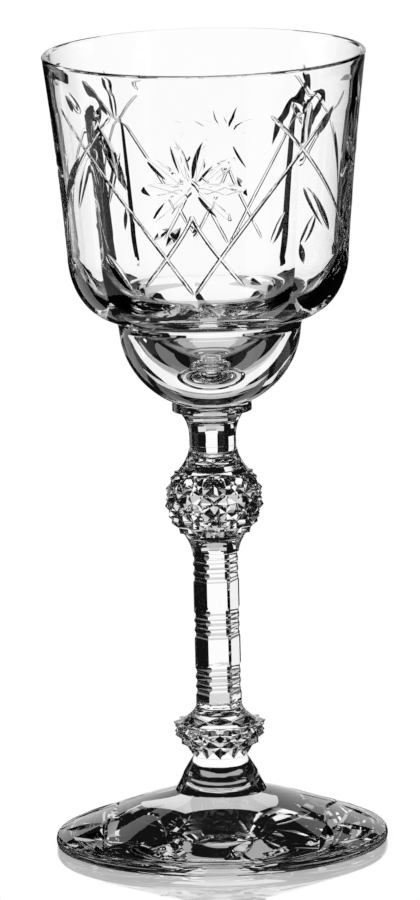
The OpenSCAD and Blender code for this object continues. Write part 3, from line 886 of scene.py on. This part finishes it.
class CRYSTAL_OT_stem(bpy.types.Operator):
    """Press the stem and cut its diamonds and notches"""
    bl_idname = "crystal.stem"
    bl_label = "Press and cut the stem"

    def execute(self, context):
        scene = context.scene
        sizes, bowl = scene.stem_sizes, scene.bowl_sizes
        stem = make_stem(sizes, bowl)
        glass = crystal("stem_crystal", scene.studio.index, wave_scale=240, wave_height=0.018 * MM, marks=5)
        seats = [(bowl.seat_height, bowl.seat_radius), (STEM_LOW.z, sizes.base)]
        dress(stem, glass, seam("stem_seam"), seats)
        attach(stem, "root")
        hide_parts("stem")
        return {"FINISHED"}


class CRYSTAL_OT_foot(bpy.types.Operator):
    """Spread the foot and cut its sprays"""
    bl_idname = "crystal.foot"
    bl_label = "Spread and cut the foot"

    def execute(self, context):
        scene = context.scene
        foot = make_foot(scene.foot_sizes, scene.stem_sizes.base, scene.cut_sizes)
        glass = crystal("foot_crystal", scene.studio.index, wave_scale=180, wave_height=0.008 * MM)
        dress(foot, glass, seam("foot_seam"), [(scene.foot_sizes.height, scene.stem_sizes.base)])
        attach(foot, "root")
        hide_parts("foot")
        return {"FINISHED"}


# The tent: its dome's radius and highest ring in degrees, the floor cards' rings and gap, and a cell's width
# in degrees
DOME_R = 1.4
DOME_TOP = 89
FLOOR_RINGS = 80
FLOOR_START = 0.01
FLOOR_GAP = 0.5 * MM
CARD_STEP = 1.0
BLACK = 0.006
# The tent's patches of other brightness than black: each a way out from the glass, half its angle, its lowest
# and highest reach (in height angle on the dome and in distance on the floor) and its brightness, where 1 is
# an opening. A later patch lies over an earlier one.
DOME_PATCHES = ((15, 15, 4, 20, 0.4), (165, 15, 4, 20, 0.4), (88, 11, 0, 5, 1), (88, 11, 5, 10, 0.35),
                (71, 8, 5, 20, 0.75), (103, 7, 5, 20, 0.65), (88, 9, 10, 20, 0.6), (89, 14, 20, 30, 0.5),
                (88, 24, 30, 38, 0.6), (180, 14, 0, 10, 1), (315, 6, 0, 28, 1), (135, 6, 12, 38, 1))
FLOOR_PATCHES = ((90, 62, 0.045, 0.08, 0.18), (88, 20, 0.08, 0.13, 0.45), (88, 12, 0.028, 0.05, 0.4),
                 (88, 10, 0.05, 0.13, 0.7), (88, 10, 0.13, 9, 1), (180, 14, 0.15, 9, 1),
                 (315, 15, 0.04, 9, 1), (135, 12, 0.1, 0.45, 1))


def brightness(patches, a, reach):
    """The brightness of the tent at places by angle and reach."""
    found = np.full(np.broadcast(a, reach).shape, BLACK)
    for way, half, low, high, grey in patches:
        found[(np.abs((a - way + 180) % 360 - 180) < half) & (reach >= low) & (reach <= high)] = grey
    return found


def card(name, line, keep, grey):
    """A stage piece, turned from a line, that only the glass shows; keep says which of its cells stay. The
    grey ones are left out of plain reflections, so the floor mirrors a white background."""
    a = np.radians(np.arange(0, 361, CARD_STEP))
    points = np.stack([line[:, :1] * np.cos(a), line[:, :1] * np.sin(a),
                       np.broadcast_to(line[:, 1:], (len(line), len(a)))], -1).reshape(-1, 3)
    row, col = np.meshgrid(np.arange(len(line) - 1), np.arange(len(a) - 1), indexing="ij")
    n = len(a)
    quads = np.stack([row * n + col, row * n + col + 1, (row + 1) * n + col + 1, (row + 1) * n + col], -1)
    piece = add_mesh(name, points, quads[keep])
    finish = Finish(bpy.data.materials.new(name))
    plain = finish.node("ShaderNodeEmission", sockets={"Color": (grey, grey, grey, 1), "Strength": 1.0})
    piece.data.materials.append(finish.end("ShaderNodeOutputMaterial", plain))
    piece.visible_camera = piece.visible_diffuse = piece.visible_shadow = False
    piece.visible_glossy = bool(grey <= BLACK)


def dark_tent():
    """The dark field that makes clear glass readable: black over the floor and all round, with openings
    behind the glass and grey cards near them. Only reflected and refracted light meets it."""
    way = (np.arange(0, 360, CARD_STEP) + CARD_STEP / 2)[None, :]
    r = np.geomspace(FLOOR_START, DOME_R, FLOOR_RINGS)
    floor = np.stack([r, np.full(FLOOR_RINGS, -FLOOR_GAP)], -1)
    dome = ellipse(0, 0, DOME_R, DOME_R, 0, DOME_TOP, DOME_TOP)
    reach, rise = (r[1:] + r[:-1])[:, None] / 2, (np.arange(DOME_TOP) + 0.5)[:, None]
    for name, line, found in (("floor_card", floor, brightness(FLOOR_PATCHES, way, reach)),
                              ("dome_card", dome, brightness(DOME_PATCHES, way, rise))):
        for grey in np.unique(found[found < 1]):
            card(name, line, found == grey, grey)


FLOOR_REACH = 4.0
# The share of its own white that the floor shows, where the rest is lit by the lamps
OWN_WHITE = 0.88
ACRYLIC = (0.9, 0.9, 0.9, 1)
POLISH = 0.03
RAYS_THAT_SEE = ("Is Camera Ray", "Is Glossy Ray", "Is Transmission Ray")


def white_floor(studio):
    """White acrylic that shows its own white to the camera, and mirrors what stands on it."""
    corners = [(x * FLOOR_REACH, y * FLOOR_REACH, 0) for x, y in ((-1, -1), (1, -1), (1, 1), (-1, 1))]
    floor = add_mesh("acrylic_floor", corners, [(0, 1, 2, 3)])
    finish = Finish(bpy.data.materials.new("white_acrylic"))
    colour = (*studio.floor, 1)
    lit = finish.node("ShaderNodeEmission", sockets={"Color": colour, "Strength": 1.0})
    plain = finish.node("ShaderNodeBsdfDiffuse", sockets={"Color": ACRYLIC})
    camera, glossy, through = (finish.node("ShaderNodeLightPath", output=ray) for ray in RAYS_THAT_SEE)
    seen = camera.most(glossy).most(through)
    base = finish.node("ShaderNodeMixShader", sockets={0: OWN_WHITE * seen, 1: plain, 2: lit})
    shine = finish.node("ShaderNodeBsdfGlossy", sockets={"Color": (1, 1, 1, 1), "Roughness": POLISH})
    both = finish.node("ShaderNodeMixShader", sockets={0: studio.mirror, 1: base, 2: shine})
    floor.data.materials.append(finish.end("ShaderNodeOutputMaterial", both))
    floor.visible_glossy = floor.visible_transmission = False


def soft_light(name, place, size, power):
    """A square soft box that faces the middle of the glass, and that the glass doesn't show as a shape."""
    data = bpy.data.lights.new(name, "AREA")
    data.energy, data.size = power, size
    lamp = bpy.data.objects.new(name, data)
    lamp.location = place
    lamp.visible_transmission = lamp.visible_glossy = False
    aim = Vector((0, 0, 0.5 * CAD_BOX[1][2])) - Vector(place)
    lamp.rotation_mode = "QUATERNION"
    lamp.rotation_quaternion = aim.to_track_quat("-Z", "Y")
    bpy.context.scene.collection.objects.link(lamp)
    return lamp


# The size of the photograph, where the middle of the glass is in it, and its scale there
IMAGE = (420, 900)
MIDDLE_PIXEL = (213.0, 448.9)
PIXELS_PER_METRE = 6696.0
SENSOR = 36.0


def place_camera(studio):
    """A long lens on the middle of the glass, turned a little, as the photograph was taken."""
    data = bpy.data.cameras.new("camera")
    data.sensor_width = SENSOR
    data.sensor_fit = "AUTO"
    data.lens = PIXELS_PER_METRE * studio.distance * SENSOR / IMAGE[1]
    data.shift_x = (IMAGE[0] / 2 - MIDDLE_PIXEL[0]) / IMAGE[1]
    data.shift_y = (MIDDLE_PIXEL[1] - IMAGE[1] / 2) / IMAGE[1]
    camera = bpy.data.objects.new("camera", data)
    rise = studio.elevation
    back = Vector((0, -math.cos(rise), math.sin(rise)))
    right0, up0 = Vector((1, 0, 0)), Vector((0, math.sin(rise), math.cos(rise)))
    cos, sin = math.cos(studio.roll), math.sin(studio.roll)
    right, up = cos * right0 - sin * up0, sin * right0 + cos * up0
    place = Matrix((right, up, back)).transposed().to_4x4()
    place.translation = Vector((0, 0, 0.5 * CAD_BOX[1][2])) + back * studio.distance
    camera.matrix_world = place
    bpy.context.scene.collection.objects.link(camera)
    bpy.context.scene.camera = camera


GLASS_BOUNCES = 24
MIRROR_BOUNCES = 8


class CRYSTAL_OT_stage(bpy.types.Operator):
    """Lay the floor, stand the dark cards, hang the lights and place the camera"""
    bl_idname = "crystal.stage"
    bl_label = "Set the stage"

    def execute(self, context):
        scene = context.scene
        white_floor(scene.studio)
        dark_tent()
        finish = Finish(bpy.data.worlds.new("tent"))
        white = (*scene.studio.floor, 1)
        tent = finish.node("ShaderNodeBackground", sockets={"Color": white, "Strength": 1.0})
        scene.world = finish.end("ShaderNodeOutputWorld", tent)
        soft_light("soft_box_left", place=(-0.7, -0.6, 0.9), size=0.5, power=3)
        soft_light("soft_box_back", place=(0.4, 0.8, 1.0), size=0.6, power=3)
        place_camera(scene.studio)
        scene.cycles.max_bounces = scene.cycles.transmission_bounces = GLASS_BOUNCES
        scene.cycles.transparent_max_bounces = GLASS_BOUNCES
        scene.cycles.glossy_bounces = MIRROR_BOUNCES
        scene.view_settings.view_transform = "Standard"
        return {"FINISHED"}


class CRYSTAL_PT_panel(bpy.types.Panel):
    """The sizes and settings, and a button for each step"""
    bl_label = "Cut crystal cordial glass"
    bl_idname = "CRYSTAL_PT_panel"
    bl_space_type = "VIEW_3D"
    bl_region_type = "UI"
    bl_category = "Crystal"

    def draw(self, context):
        for name, group in GROUPS.items():
            box = self.layout.box()
            for prop in group.__annotations__:
                box.prop(getattr(context.scene, name), prop)
        for operator in OPERATORS:
            self.layout.operator(operator.bl_idname)


GROUPS = {"bowl_sizes": BowlSizes, "cut_sizes": CutSizes, "stem_sizes": StemSizes, "foot_sizes": FootSizes,
          "studio": StudioSettings}
OPERATORS = (CRYSTAL_OT_bowl, CRYSTAL_OT_stem, CRYSTAL_OT_foot, CRYSTAL_OT_stage)


def register():
    for name, group in GROUPS.items():
        bpy.utils.register_class(group)
        setattr(bpy.types.Scene, name, bpy.props.PointerProperty(type=group))
    for operator in OPERATORS:
        bpy.utils.register_class(operator)
    bpy.utils.register_class(CRYSTAL_PT_panel)


def unregister():
    bpy.utils.unregister_class(CRYSTAL_PT_panel)
    for operator in reversed(OPERATORS):
        bpy.utils.unregister_class(operator)
    for name, group in reversed(list(GROUPS.items())):
        delattr(bpy.types.Scene, name)
        bpy.utils.unregister_class(group)


def main():
    """Builds every piece and the stage."""
    register()
    bpy.ops.crystal.bowl()
    bpy.ops.crystal.stem()
    bpy.ops.crystal.foot()
    bpy.ops.crystal.stage()


if __name__ == "__main__":
    main()
